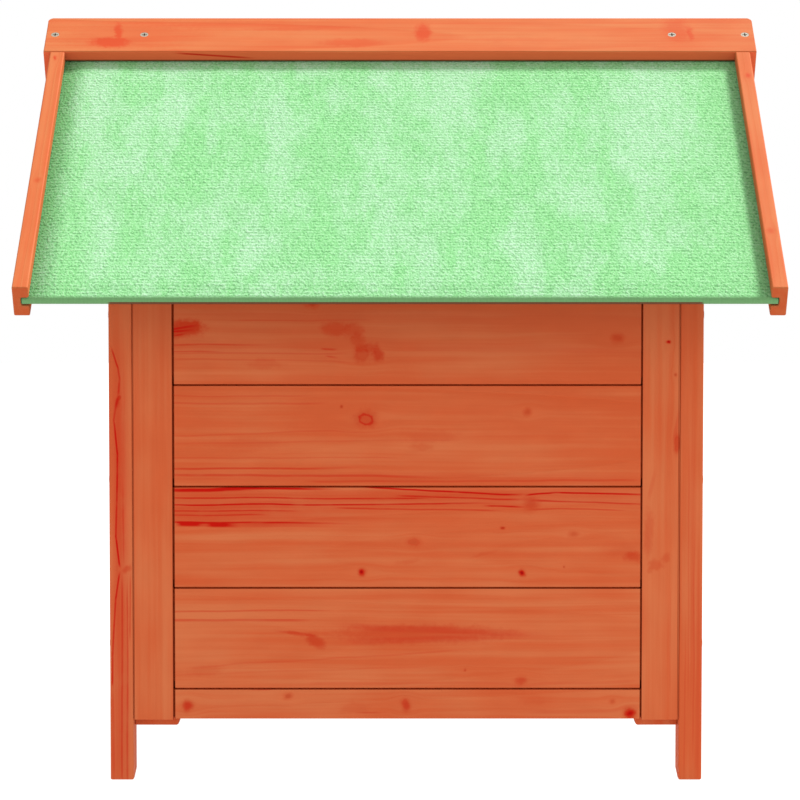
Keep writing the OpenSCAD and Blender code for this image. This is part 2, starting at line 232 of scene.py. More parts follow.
def wood(name, L, W, face, seed, pith, tone=0.0, knots=(), streaks=(), blots=(), contrast=1.0, wave=2.0, rough=0.6, base=None, under=None, dim=0.0, gap_shade_rims=(), joint_shade=False):
    """A board with its grain along L and its face across W. face is how far out along L x W its face lies.
    pith is (across, behind the face, ring width, slope across, slope behind) of the heart of the tree.
    The arrises listed as (axis, place, reach) get painted shade of the joint beside them; the sides of a joint can get
    a deeper, redder painted shade."""
    N = cross(L, W)
    rnd = random.Random(seed)
    g = Graph(name)
    P = g.position()
    l = g.vec("DOT_PRODUCT", P, L)
    w = g.vec("DOT_PRODUCT", P, W)
    n = g.vec("DOT_PRODUCT", P, N) - face
    lwn = g.xyz(l, w, n)
    shift = tuple(rnd.uniform(-40, 40) for _ in range(3))

    def at(a, b, c=None, k=0.0):
        return g.vec("MULTIPLY_ADD", lwn, (a, b, b if c is None else c), tuple(s + k for s in shift))

    # the grain wanders a little, and runs round the knots
    w1 = w + (g.noise(at(0.0075, 0.012), 2.0) - 0.5) * (2 * wave)
    w1 = w1 + (g.noise(at(0.035, 0.05, k=7.7), 2.0) - 0.5) * (0.5 * wave)
    marks = []
    rag = (g.noise(at(0.30, 0.34, k=3.1), 3.0, 0.6) - 0.5) * 2.0
    bent = lwn
    if knots or blots:
        bl = (g.noise(at(0.10, 0.12, k=31.0), 2.0) - 0.5) * 3.4
        bw = (g.noise(at(0.10, 0.12, k=47.0), 2.0) - 0.5) * 3.4
        bent = g.vec("ADD", lwn, g.xyz(bl, bw, 0.0))
        ragged = g.vec("ADD", lwn, g.xyz(bl * 2.0, bw * 1.7, 0.0))
    for k in knots:
        d = g.vec("LENGTH", g.vec("MULTIPLY", g.vec("SUBTRACT", bent, (k["l"], k["w"], 0.0)), (1.0 / k["ex"], 1.0, 0.0)))
        r = k["r"]
        off = g.vec("SUBTRACT", lwn, (k["l"], k["w"], 0.0))
        far = g.vec("LENGTH", g.vec("MULTIPLY", off, (1.0 / (k["reach"] * (5.0 * r * k["ex"] + 4)), 1.0 / (3.0 * r + 2.5), 0.0)))
        w1 = w1 - (w - k["w"]) * (g.ranged(far, 0.0, 1.0, k["turn"], 0.0))
        marks.append((k, d + rag * (0.42 * r)))

    across, behind, ring_w, tilt_w, tilt_n = pith
    rw = w1 - across - l * tilt_w
    rn = n + behind + l * tilt_n
    rad = g.math("SQRT", rw * rw + rn * rn)
    t = rad / ring_w + (g.noise(at(0.003, 0.02, k=1.3), 1.0) - 0.5) * 1.2
    idx = g.math("FLOOR", t)
    f = t - idx
    late = g.ranged(f, 0.30, 0.90) * g.ranged(f, 0.90, 1.0, 1.0, 0.0)
    each = g.white(idx + seed * 0.37)
    late = late * (each * each * 0.85 + 0.15)

    # fibres, fine lines, wider streaks and cloudy uptake of the stain
    w1n = g.xyz(l, w1, n)
    fibre = g.noise(at(0.012, 1.9, k=2.2), 3.0, 0.6)
    fine = g.noise(g.vec("MULTIPLY_ADD", w1n, (0.0065, 0.50, 0.50), tuple(s + 6.3 for s in shift)), 3.0, 0.62)
    band = g.noise(g.vec("MULTIPLY_ADD", w1n, (0.0035, 0.16, 0.16), tuple(s + 5.5 for s in shift)), 3.0, 0.55)
    cloud = g.noise(at(0.012, 0.03, k=9.1), 2.0)
    mottle = g.noise(at(0.06, 0.12, k=4.4), 2.0)

    lo, hi, deep = (PALE, WARM, LATE) if base is None else base
    col = g.mix(g.ranged(band * 0.55 + cloud * 0.45 + tone, 0.36, 0.66), lo, hi)
    lines = late * (0.42 * contrast) + g.ranged(fine, 0.53, 0.74) * (0.38 * contrast) + g.ranged(fibre, 0.45, 0.8) * (0.10 * contrast)
    col = g.mix(g.math("MINIMUM", lines, 1.0), col, deep)
    # painted shade under the eave: the piece darkens towards its top
    if dim:
        up = g.vec("DOT_PRODUCT", P, Z)
        col = g.mix(g.ranged(up, 268.0, 322.0, 0.0, dim), col, (0.42, 0.104, 0.038))
    red = g.ranged(band, 0.60, 0.80) * late * (0.22 * contrast)
    core = None
    smudge = None
    for s in streaks:
        slope = (s["w1"] - s["w0"]) / max(1e-6, s["l1"] - s["l0"])
        line = w1 - s["w0"] - (l - s["l0"]) * slope
        if s["waver"]:
            line = line + (g.noise(at(0.03, 0.02, k=s["l0"] * 0.07 + s["w0"]), 1.0) - 0.5) * (2 * s["waver"])
        near = g.math("ABSOLUTE", line) / s["thick"]
        m = g.ranged(near, 0.25, 1.0, 1.0, 0.0)
        m = m * g.ranged(l, s["l0"] - s["fade"] * 0.5, s["l0"] + s["fade"] * 0.5) * g.ranged(l, s["l1"] - s["fade"], s["l1"] + s["fade"] * 0.5, 1.0, 0.0)
        red = red + m * g.ranged(mottle, 0.2, 0.55, 0.65 * s["red"], s["red"])
    for b in blots:
        off = g.vec("SUBTRACT", ragged, (b["l"], b["w"], 0.0))
        if b["lean"]:
            sx = g.node("ShaderNodeSeparateXYZ")
            g.put(sx.inputs[0], off)
            ox, oy = Num(g, sx.outputs[0]), Num(g, sx.outputs[1])
            off = g.xyz(ox, oy - ox * b["lean"], 0.0)
        d = g.vec("LENGTH", g.vec("MULTIPLY", off, (1.0 / (b["ex"] * b["r"]), 1.0 / b["r"], 0.0))) + rag * 0.35
        m = g.ranged(d, 0.40, 1.30, 1.0, 0.0)
        smudge = m * b["deep"] if smudge is None else smudge + m * b["deep"]
        if b["red"]:
            red = red + m * b["red"]
    for k, d in marks:
        r = k["r"]
        halo = g.ranged(d, r * 0.6, r * 2.1, k["halo"], 0.0)
        smudge = halo if smudge is None else smudge + halo
        c = g.ranged(d, r * 0.35, r * 1.05, k["core"], 0.0)
        core = c if core is None else core + c
        if k["red"]:
            red = red + g.ranged(d, r * 0.35, r * 1.5, k["red"], 0.0)
        if k["ring"]:
            edge = g.math("ABSOLUTE", d - r * 0.86) / (r * 0.30)
            red = red + g.ranged(edge, 0.1, 1.0, k["ring"] * 0.7, 0.0)
    if smudge is not None:
        col = g.mix(g.math("MINIMUM", smudge, 0.9), col, BLOT if base is None else tuple(c * k for c, k in zip(deep, (1.0, 0.85, 0.8))))
    if core is not None:
        col = g.mix(g.math("MINIMUM", core, 1.0), col, CORE if base is None else tuple(c * k for c, k in zip(deep, (0.86, 0.62, 0.6))))
    col = g.mix(g.math("MINIMUM", red, 1.0), col, RED)
    for k, d in marks:
        if k["pit"]:
            col = g.mix(g.ranged(d, k["r"] * 0.15, k["r"] * 0.65, k["pit"], 0.0), col, (0.33, 0.003, 0.001))
    if dim:
        # shade line close under the eave
        col = g.mix(g.ranged(up, 318.2, 319.2, 0.0, 0.35) * g.ranged(up, 321.0, 325.0, 1.0, 0.0), col, (0.20, 0.055, 0.015))
    # painted shade of the joints: the listed arrises darken beside them
    for axis, place, reach in gap_shade_rims:
        col = g.mix(g.ranged(g.math("ABSOLUTE", (l if axis == "l" else w) - place), reach * 0.4, reach, 0.85, 0.0), col, (0.21, 0.020, 0.004))
    # painted shade in the joints: the sides just behind the face turn deeper and redder
    if joint_shade:
        col = g.mix(g.ranged(g.math("ABSOLUTE", g.vec("DOT_PRODUCT", P, (0, 1, 0))), 197.4, 198.2, 0.75, 0.0), col, (0.56, 0.060, 0.008))

    # end grain drinks more stain
    nrm = Num(g, g.node("ShaderNodeNewGeometry").outputs["Normal"])
    end = g.ranged(g.math("ABSOLUTE", g.vec("DOT_PRODUCT", nrm, L)), 0.75, 0.97)
    col = g.mix(end * 0.5, col, deep)
    if under is not None:
        # painted light: the downward face is lightened to stand in for the light it lacks
        col = g.mix(g.ranged(g.vec("DOT_PRODUCT", nrm, under), 0.8, 0.97, 0.0, 0.82), col, (0.800, 0.138, 0.052))
        low = g.ranged(g.vec("DOT_PRODUCT", nrm, under), 0.5, 0.8)
        vein = g.math("ABSOLUTE", n + 3.4 + (l + 134.0) * 0.075) / 1.1
        vein = g.ranged(vein, 0.2, 1.0, 0.85, 0.0) * g.ranged(l, -164.0, -150.0) * g.ranged(l, -118.0, -100.0, 1.0, 0.0)
        col = g.mix(vein * low, col, RED)
        # painted shade: a dark line along the bottom edge of the downward face
        col = g.mix(g.ranged(n, -7.6, -6.4, 0.9, 0.0) * low * g.ranged(g.math("ABSOLUTE", l), 241.0, 243.0, 1.0, 0.0), col, (0.09, 0.045, 0.014))
    col = g.shade(col, g.lin(fibre * 0.5 + mottle * 0.5, 0.3, 0.7, 0.875, 0.925))

    height = fibre * 0.5 - late * 0.6 - g.ranged(fibre, 0.52, 0.75) * 0.3
    normal = g.bump(height, 0.00012)
    return g.principled(
        col, g.lin(fibre + late * 0.3, 0.3, 0.9, rough - 0.06, rough + 0.1), normal,
        Specular_IOR_Level=0.06, IOR=1.45)


def dress(name, mat):
    o = nodes[name]
    if not o.material_slots:
        o.data.materials.append(mat)
    for s in o.material_slots:
        s.material = mat


# ---- features that the side wall shows, in mm along and across each board --
SIDE = {
    "right_sill_board": dict(
        knots=[knot(-142.3, 49.8, 3.3, ex=0.9, core=0.1, red=0.6, halo=0.5, ring=0.0),
               knot(-75, 56.5, 2.0, ex=1.3, core=0.4, red=0.05, halo=0.4, ring=0.0),
               knot(3.5, 50, 3.3, ex=0.75, core=0.15, red=0.45, halo=0.5, ring=0.1),
               knot(142, 53, 1.7, core=0.25, red=0.0, halo=0.35, ring=0.0),
               knot(154.2, 44.9, 3.1, ex=1.1, core=0.1, red=1.0, halo=0.9, ring=0.0, pit=0.5)],
        blots=[blot(-30, 49, 4, ex=3.0, deep=0.25), blot(90, 54, 4, ex=3.0, deep=0.2)],
        streaks=[streak(-26, -12, 44.5, thick=0.8, red=0.4), streak(-98, -64, 60.3, thick=0.6, red=0.4),
                 streak(90, 160, 46.0, 47.5, thick=2.2, red=0.16)],
        pith=(70, 26, 5.2, 0.01, 0.02), contrast=0.65),
    "right_board_1": dict(
        knots=[knot(81, 67.0, 2.4, ex=1.4, core=0.1, red=0.3, halo=0.35, ring=0.0),
               knot(43.5, 74.3, 1.0, core=0.5, red=0.1, halo=0.3, ring=0.0)],
        blots=[blot(-57, 93.4, 4.4, ex=1.5, deep=0.55, red=0.25, lean=-0.35), blot(-70, 98.4, 1.8, ex=4.5, deep=0.35, red=0.12, lean=-0.1),
               blot(12, 98.6, 6.6, ex=9.5, deep=0.42, red=0.14), blot(-130, 74, 4.0, ex=3.0, deep=0.22, lean=0.15)],
        streaks=[streak(-156, -48, 113.7, 114.5, thick=0.9, red=0.36), streak(-156, -62, 107.9, 107.4, thick=1.3, red=0.42, waver=0.8),
                 streak(-82, -56, 100.2, 97, thick=1.3, red=0.25, fade=8), streak(-34, 92, 104, 98.6, thick=3.2, red=0.28, fade=34, waver=0.6),
                 streak(-34, 88, 93.4, 97.6, thick=3.2, red=0.25, fade=30, waver=0.6),
                 streak(-140, 40, 76, 88, thick=1.0, red=0.16, waver=1.2),
                 streak(-150, 20, 71, 77, thick=0.9, red=0.14, waver=1.0), streak(-60, 160, 65.5, 66, thick=1.4, red=0.18)],
        pith=(93, 34, 5.4, 0.012, 0.05), contrast=0.62, tone=-0.01),
    "right_board_2": dict(
        knots=[knot(87.5, 185.8, 4.0, core=0.1, red=0.16, halo=0.42, ring=0.0, turn=0.3),
               dot_knot(-25.3, 139.8, 2.3), dot_knot(81.8, 139.6, 2.1), knot(68, 169.7, 0.95, ex=1.6, core=0.9, red=0.35, halo=0.4, ring=0.0),
               knot(9.4, 159.8, 2.4, ex=1.5, core=0.25, red=0.05, halo=0.35, ring=0.2),
               knot(116, 165.8, 1.8, ex=1.5, core=0.2, red=0.0, halo=0.42, ring=0.0),
               knot(110, 143.6, 0.9, core=0.5, red=0.0, halo=0.3, ring=0.0)],
        blots=[blot(156, 150.0, 4.2, ex=1.5, deep=0.5, red=0.2), blot(148, 155, 6.0, ex=2.4, deep=0.16, red=0.04), blot(6, 147, 2.0, ex=4.0, deep=0.25, lean=0.2),
               blot(56, 152, 1.6, ex=6.0, deep=0.22, lean=0.25)],
        streaks=[streak(-160, -100, 195.0, 195.6, thick=1.7, red=1.0, fade=20, waver=0.2), streak(-120, -48, 196.0, 196.2, thick=1.1, red=0.95, fade=26, waver=0.1),
                 streak(-160, 20, 190.0, 189.5, thick=0.8, red=0.6, waver=0.3), streak(-160, 60, 185.2, 185.9, thick=0.8, red=0.72, fade=40, waver=0.25),
                 streak(-160, -70, 181.2, thick=0.7, red=0.5), streak(-160, -90, 178.4, thick=0.7, red=0.45),
                 streak(-148, -131, 172.8, 172.6, thick=2.3, red=1.0, fade=6, waver=0.3), streak(-129, -110, 172.2, 171.4, thick=2.1, red=1.0, fade=10, waver=0.3),
                 streak(-160, -40, 174.0, 172.6, thick=0.9, red=0.7, fade=50, waver=0.2), streak(-112, -46, 171.6, 171.2, thick=2.4, red=0.40, fade=40, waver=0.5),
                 streak(-24, 81, 197.4, 190.8, thick=0.9, red=0.85, fade=10, waver=0.12), streak(85, 104, 190.2, 192.6, thick=0.9, red=0.85, fade=6, waver=0.1), streak(104, 166, 192.9, 192.3, thick=0.9, red=0.8, fade=12, waver=0.2),
                 streak(0, 82, 191.4, 187.8, thick=0.8, red=0.6, waver=0.15), streak(90, 164, 187.2, 186.0, thick=0.8, red=0.55, waver=0.2),
                 streak(-40, 66, 183.2, 181.0, thick=0.8, red=0.55, waver=0.2), streak(58, 82, 184.2, 184.0, thick=0.8, red=0.8, fade=8, waver=0.1), streak(90, 150, 182.6, 181.4, thick=0.7, red=0.5),
                 streak(-156, 170, 190.5, thick=9.0, red=0.24, fade=40, waver=2), streak(-170, -10, 180.0, thick=10.0, red=0.32, fade=90, waver=1)],
        pith=(150, 30, 4.6, 0.01, -0.05), contrast=0.5, tone=0.02),
    "right_board_3": dict(
        knots=[knot(-22.8, 242.2, 4.1, ex=1.15, core=0.0, red=0.06, halo=0.35, ring=0.85),
               knot(-39.5, 250.8, 1.0, core=0.7, red=0.2, halo=0.3, ring=0.0),
               knot(85, 247.3, 2.3, core=0.2, red=0.1, halo=0.45, ring=0.0)],
        blots=[blot(-22.8, 242.2, 7.0, ex=1.25, deep=0.22, red=0.08), blot(14.5, 223.4, 2.4, ex=3.6, deep=0.3), blot(-100, 226, 5.0, ex=5.0, deep=0.16, red=0.05), blot(20, 231, 5.0, ex=4.0, deep=0.18, red=0.05)],
        streaks=[streak(-156, -60, 258.2, thick=0.8, red=0.22), streak(-156, -50, 253.2, thick=1.0, red=0.28),
                 streak(-156, -35, 209.2, 209.6, thick=1.0, red=0.6, fade=40), streak(-156, 20, 205.0, 204.0, thick=1.2, red=0.42, fade=30),
                 streak(-156, 0, 216.6, thick=0.8, red=0.22), streak(-60, 160, 200.4, 201.9, thick=1.0, red=0.28),
                 streak(-150, -20, 231, 236, thick=0.9, red=0.2), streak(-150, 40, 226, 229, thick=0.9, red=0.16),
                 streak(-150, 160, 203.4, thick=5.0, red=0.13, fade=40, waver=1.5)],
        pith=(232, 42, 5.2, 0.01, 0.04), contrast=0.48, tone=0.09),
    "right_board_4": dict(
        knots=[knot(-25.2, 285.4, 4.6, ex=1.0, core=0.0, red=0.0, halo=0.2, ring=0.22, turn=0.5),
               knot(145, 296.4, 2.6, ex=1.2, core=0.25, red=0.08, halo=0.55, ring=0.0),
               knot(-58.7, 318.9, 2.2, ex=1.5, core=0.75, red=0.05, halo=0.6, ring=0.0)],
        blots=[blot(-145, 302.4, 6.4, ex=2.3, deep=0.85, red=0.24, lean=0.05), blot(-138, 304.6, 3.4, ex=2.4, deep=0.5, red=0.08, lean=0.1), blot(-43.5, 302.4, 5.4, ex=1.8, deep=0.60, red=0.08), blot(-31, 300.8, 6.0, ex=1.05, deep=0.48, red=0.06),
               blot(-27, 293.0, 6.4, ex=0.85, deep=0.48, red=0.06), blot(-25.4, 285.4, 6.0, ex=1.0, deep=0.36, red=0.04), blot(-15.0, 286.2, 6.0, ex=0.72, deep=0.62, red=0.28),
               blot(-20.0, 290.0, 3.6, ex=1.0, deep=0.40, red=0.12), blot(-90, 279.4, 3.6, ex=3.6, deep=0.2, red=0.05)],
        streaks=[streak(-156, -136, 301.4, 304.8, thick=1.1, red=0.7, fade=10, waver=1.2), streak(-156, -139, 299.4, 301.2, thick=1.0, red=0.7, fade=9, waver=1.0), streak(-151, -143, 297.6, 298.6, thick=0.8, red=0.6, fade=6, waver=0.8),
                 streak(-156, -90, 291.4, 291.9, thick=0.9, red=0.45, fade=30), streak(-156, -120, 287.0, thick=0.7, red=0.4),
                 streak(-52, -42, 289.8, 288.8, thick=1.0, red=0.5, fade=4), streak(-49, -42, 284.8, 284.0, thick=0.9, red=0.4, fade=4), streak(-150, -36, 285.8, 286.4, thick=0.9, red=0.22),
                 streak(-108, -20, 308.2, 308.8, thick=0.7, red=0.22), streak(-150, -30, 281.6, thick=0.9, red=0.18),
                 streak(0, 160, 290.0, 288.0, thick=4.2, red=0.12, fade=50, waver=1.5), streak(-150, -40, 288, thick=5.0, red=0.10, fade=40)],
        pith=(300, 46, 5.6, 0.012, -0.03), contrast=0.6, tone=0.05, dim=0.32),
    "right_top_plate": dict(pith=(350, 30, 5.0, 0.0, 0.01), contrast=0.7),
}
SEEDS = {n: i for i, n in enumerate(sorted(nodes))}
FACE_SIDE, FACE_STILE = 198.7, 199.0


def spare_knots(rnd, l0, l1, w0, w1, count):
    """Knots on boards that no one side of the model favours"""
    made = []
    for _ in range(count):
        r = rnd.choice((0.9, 1.3, 1.8, 2.6, 3.4, 4.2))
        l = rnd.uniform(l0, l1)
        if any(abs(l - k["l"]) < 26 for k in made):
            continue
        made.append(knot(l, rnd.uniform(w0 + 1, w1 - 1), r, ex=rnd.uniform(0.85, 1.6), core=rnd.uniform(0.15, 0.4),
                         red=rnd.choice((0.05, 0.12, 0.3, 0.8 if r < 2 else 0.3)), halo=rnd.uniform(0.35, 0.6), ring=rnd.choice((0, 0.2, 0.5)) if r > 1.5 else 0.0))
    return made


def spare_streaks(rnd, l0, l1, w0, w1, count):
    made = []
    for _ in range(count):
        a = rnd.uniform(l0, l1)
        b = a + rnd.uniform(0.2, 0.6) * (l1 - l0)
        w = rnd.uniform(w0 + 1, w1 - 1)
        made.append(streak(a, b, w, w + rnd.uniform(-1.5, 1.5), thick=rnd.uniform(0.4, 1.1), red=rnd.uniform(0.15, 0.5), fade=24))
    return made


def spare(name, L, W, face, l0, l1, w0, w1, knots=2, streaks=2, **more):
    rnd = random.Random(SEEDS[name] * 7 + 3)
    mid = (w0 + w1) / 2
    pith = (mid + rnd.uniform(-25, 25), rnd.uniform(24, 55), rnd.uniform(4.4, 6.0), rnd.uniform(-0.02, 0.02), rnd.uniform(-0.05, 0.05))
    dress(name, wood(name, L, W, face, SEEDS[name] + 11, pith, tone=rnd.uniform(-0.05, 0.05),
                     knots=spare_knots(rnd, l0, l1, w0, w1, knots), streaks=spare_streaks(rnd, l0, l1, w0, w1, streaks), **more))


def paint_walls():
    for name, spec in SIDE.items():
        dress(name, wood(name, X, Z, FACE_SIDE, SEEDS[name] + 11, gap_shade_rims=(("l", -150.8, 0.5), ("l", 160.7, 0.32)), joint_shade=True, **spec))
    minus_x = (-1, 0, 0)
    rows = {"sill_board": (41, 61), "board_1": (62, 129), "board_2": (130, 196), "board_3": (197, 264), "board_4": (265, 331), "top_plate": (332, 375)}
    for k, (a, b) in rows.items():
        spare("left_" + k, minus_x, Z, FACE_SIDE, -155, 150, a, b, knots=1 if b - a < 45 else 5, streaks=2 if b - a < 45 else 5)

    # corner posts and stiles, grain upright
    dress("front_right_post", wood(
        "front_right_post", Z, X, FACE_STILE, 301, (-150, 12, 4.0, 0.0, 0.0), tone=0.0, wave=0.7, contrast=0.55, dim=0.2,
        knots=[knot(254, -188.4, 1.4, ex=2.2, core=0.35, red=0.1, halo=0.4, ring=0.0, turn=0.3)],
        blots=[blot(142.5, -182.2, 3.6, ex=0.8, deep=0.42, red=0.12), blot(256.6, -187.4, 1.9, ex=1.0, deep=0.7, red=0.12)],
        streaks=[streak(*p, thick=0.95, red=k, fade=4, waver=0.15) for p, k in (
                     ((277, 290, -187.8, -191.9), 0.72), ((269, 278, -186.4, -187.7), 0.6), ((259, 270, -187.5, -186.5), 0.55),
                     ((241, 257, -190.5, -187.9), 0.45), ((219, 242, -188.1, -190.4), 0.62), ((187, 220, -188.6, -188.1), 0.58),
                     ((163, 188, -189.5, -188.6), 0.52), ((144, 164, -187.0, -189.4), 0.66), ((122, 140, -189.7, -187.0), 0.62),
                     ((103, 123, -191.0, -189.7), 0.6), ((84, 104, -192.1, -191.0), 0.66), ((64, 85, -192.4, -192.1), 0.72))]
        + [streak(0, 133, -182.8, -181.8, thick=0.9, red=0.42, fade=14, waver=0.25), streak(0, 137, -186.4, -185.2, thick=0.9, red=0.40, fade=14, waver=0.25),
           streak(96, 139, -180.4, -179.8, thick=0.8, red=0.45, fade=10, waver=0.1), streak(0, 70, -191.8, -192.2, thick=1.4, red=0.34, fade=20, waver=0.2),
           streak(150, 200, -184.2, -184.6, thick=0.8, red=0.25, fade=24, waver=0.3),
           streak(0, 270, -186, thick=8.0, red=0.29, fade=40, waver=1.5), streak(150, 300, -187, thick=6.0, red=0.12, fade=20, waver=0.8)]))
    dress("back_right_post", wood(
        "back_right_post", Z, X, FACE_STILE, 302, (240, 16, 4.6, 0.0, 0.0), tone=0.06, wave=0.9, contrast=0.42, dim=0.26,
        streaks=[streak(20, 160, 196.5, thick=0.8, red=0.25, fade=40), streak(60, 230, 193.0, 192.4, thick=0.7, red=0.22, fade=40),
                 streak(0, 150, 199.6, thick=2.4, red=0.22, fade=40), streak(60, 250, 195.4, thick=2.6, red=0.14, fade=50), streak(0, 110, 190.6, thick=0.8, red=0.2, fade=30)]))
    dress("right_front_stile", wood("right_front_stile", Z, X, FACE_STILE, 303, (-90, 30, 6.0, 0.0, 0.0), tone=0.06, contrast=0.22, wave=1.0, dim=0.32,
                                    gap_shade_rims=(("w", -177.8, 0.28), ("w", -151.7, 0.5)), joint_shade=True))
    dress("right_back_stile", wood(
        "right_back_stile", Z, X, FACE_STILE, 304, (120, 26, 6.0, 0.0, 0.0), tone=-0.02, contrast=0.28, wave=1.4, dim=0.3, gap_shade_rims=(("w", 161.6, 0.36), ("w", 185.8, 0.28)), joint_shade=True,
        knots=[dot_knot(294.0, 178.6, 1.3, ex=0.75), knot(226.4, 184.6, 2.0, ex=2.6, core=0.15, red=0.25, halo=0.5, ring=0.25),
               knot(272, 183.6, 0.9, core=0.4, red=0.05, halo=0.4, ring=0.0)],
        blots=[blot(166, 165.6, 3.8, ex=4.6, deep=0.2, red=0.16), blot(145, 171.5, 5.0, ex=0.8, deep=0.34, red=0.06), blot(149.5, 178.2, 3.6, ex=1.0, deep=0.34, red=0.04), blot(141.5, 168, 2.6, ex=0.8, deep=0.3)],
        streaks=[streak(190, 208, 166.2, 170.0, thick=2.0, red=0.2, fade=10), streak(60, 130, 181, thick=0.7, red=0.14), streak(230, 250, 183.8, 185.4, thick=0.9, red=0.25)]))
    for name, face, l, a, b in (("front_left_post", FACE_STILE, Z, -194, -178), ("back_left_post", FACE_STILE, Z, 186, 202),
                                ("left_front_stile", FACE_STILE, Z, -178, -152), ("left_back_stile", FACE_STILE, Z, 161, 187)):
        # the left side mirrors the right in Y, so across runs to -X
        spare(name, Z, (-1, 0, 0), face, 0, 330, -b, -a, knots=2, streaks=3, wave=1.2, contrast=0.9)
    for s, sy in (("right", 1), ("left", -1)):
        for end, a, b in (("front", -178, -149), ("back", 158, 187)):
            spare(f"{s}_{end}_batten", Z, (sy, 0, 0), -176.6, 36, 370, min(sy * a, sy * b), max(sy * a, sy * b), knots=2, streaks=2, wave=1.2, contrast=0.8)


def paint_gables():
    rows = [(41, 109), (109, 176), (177, 244), (245, 311), (312, 379), (380, 460)]
    for i, k in enumerate(("front_sill_board", "front_right_board_2", "front_right_board_3", "front_arch_board", "front_upper_board", "front_peak_board")):
        spare(k, (0, -1, 0), Z, 189.5, -180, 180, *rows[i], knots=5, streaks=4)
    for i, k in ((1, "front_left_board_2"), (2, "front_left_board_3")):
        spare(k, (0, -1, 0), Z, 189.5, -180, 180, *rows[i], knots=5, streaks=4)
    for i, k in enumerate(("back_board_1", "back_board_2", "back_board_3", "back_board_4", "back_board_5", "back_peak_board")):
        spare(k, Y, Z, 197.7, -180, 180, *rows[i], knots=5, streaks=5)
    for end in ("front", "back"):
        across = (-1, 0, 0) if end == "front" else X
        for s, up, out in (("right", UP_R, OUT_R), ("left", UP_L, OUT_L)):
            # the outer face of a rafter looks along the body; grain runs up the slope
            side = dot(cross(across, up), out)
            n0 = dot((0, -EAVE_HALF, EAVE_Z), OUT_R)
            lo, hi = sorted((side * (n0 - 44), side * (n0 - 14)))
            spare(f"{end}_{s}_rafter", up, cross(across, up), 194.0 if end == "front" else 202.2, 20, 290, lo, hi, knots=3, streaks=3, wave=1.2)
    for s in ("right", "left"):
        spare(f"{s}_door_jamb", Z, (0, -1, 0), -169.3, 60, 330, 86 if s == "right" else -104, 104 if s == "right" else -86, knots=2, streaks=2, wave=1.0)
        spare(f"{s}_floor_bearer", X, Y, 52, -180, 190, -174 if s == "right" else 159, -159 if s == "right" else 174, knots=2, streaks=2, wave=1.0)


ROOF_BASE = ((0.535, 0.160, 0.055), (0.518, 0.109, 0.033), (0.502, 0.068, 0.018))


def paint_roof():
    base_w = dot((0, -EAVE_HALF, EAVE_Z), UP_R)       # w of the eave line on the right slope

    def u(v):
        return v + base_w

    n0 = dot((0, -EAVE_HALF, EAVE_Z), OUT_R)
    dress("right_ridge_batten", wood(
        "right_ridge_batten", X, UP_R, n0, 401, (u(303), 40, 6.0, 0.008, 0.03), tone=0.0, base=ROOF_BASE, contrast=0.85, under=tuple(-c for c in UP_R),
        knots=[knot(-158, u(284.2), 1.0, ex=1.8, core=0.4, red=0.3, halo=0.4, ring=0.0)],
        blots=[blot(-208, u(297.0), 7.2, ex=2.0, deep=0.8, red=0.10), blot(-202.8, u(312), 11.0, ex=0.32, deep=0.65, red=0.06),
               blot(-195, u(306), 22.0, ex=2.4, deep=0.30), blot(16.6, u(310), 12.5, ex=0.5, deep=0.8, red=0.10), blot(-34, u(296.5), 6.0, ex=4.2, deep=0.5, red=0.02),
               blot(199, u(314), 17.0, ex=0.62, deep=0.5, red=0.02), blot(209, u(309), 9.0, ex=0.28, deep=0.55, red=0.05), blot(-120, u(320), 6.0, ex=9.0, deep=0.25), blot(-70, u(316), 3.0, ex=14.0, deep=0.28, lean=0.05), blot(90, u(300), 4.0, ex=12.0, deep=0.2, lean=-0.03)],
        streaks=[streak(-180, 120, u(320.4), thick=2.4, red=0.05, fade=60, waver=1.5), streak(-120, 240, u(300.9), u(303), thick=3.0, red=0.04, fade=60, waver=1.5),
                 streak(-255, -120, u(323.6), thick=0.8, red=0.08, fade=40), streak(60, 255, u(292.2), thick=0.8, red=0.08, fade=40)]))
    spare("left_ridge_batten", (-1, 0, 0), UP_L, n0, -250, 250, u(288), u(328), knots=6, streaks=5, base=ROOF_BASE)
    dress("right_front_rail", wood(
        "right_front_rail", UP_R, (-1, 0, 0), n0, 402, (300, 30, 5.0, 0.0, 0.0), tone=0.02, base=ROOF_BASE, wave=1.0, contrast=0.6,
        knots=[knot(u(276), 245.0, 1.1, ex=2.2, core=0.5, red=0.2, halo=0.5, ring=0.0), knot(u(122), 243.4, 1.8, ex=1.3, core=0.25, red=0.0, halo=0.4, ring=0.0)]))
    dress("right_back_rail", wood(
        "right_back_rail", UP_R, (-1, 0, 0), n0, 403, (-200, 30, 5.0, 0.0, 0.0), tone=0.02, base=ROOF_BASE, wave=1.0, contrast=0.6,
        knots=[knot(u(253), -245.4, 1.7, ex=1.4, core=0.3, red=0.12, halo=0.55, ring=0.0), knot(u(63), -243.4, 2.0, ex=1.2, core=0.2, red=0.0, halo=0.4, ring=0.0)]))
    for end, a, b in (("front", -249.6, -239.1), ("back", 239.1, 249.6)):
        spare(f"left_{end}_rail", UP_L, X, n0, u(5), u(280), a, b, knots=2, streaks=2, base=ROOF_BASE, wave=1.0, contrast=0.8)
    # thin roof sheets and the floor, paler and plainer
    sheet_base = ((0.560, 0.200, 0.075), (0.520, 0.160, 0.050), (0.470, 0.110, 0.030))
    spare("right_roof_sheet", X, UP_R, n0 + V_UNDER, -240, 240, u(5), u(288), knots=6, streaks=6, base=sheet_base, wave=4.0, contrast=0.8)
    spare("left_roof_sheet", (-1, 0, 0), UP_L, n0 + V_UNDER, -240, 240, u(5), u(288), knots=6, streaks=6, base=sheet_base, wave=4.0, contrast=0.8)
    spare("floor_panel", X, Y, 60, -180, 185, -175, 175, knots=8, streaks=6, base=sheet_base, wave=4.0)


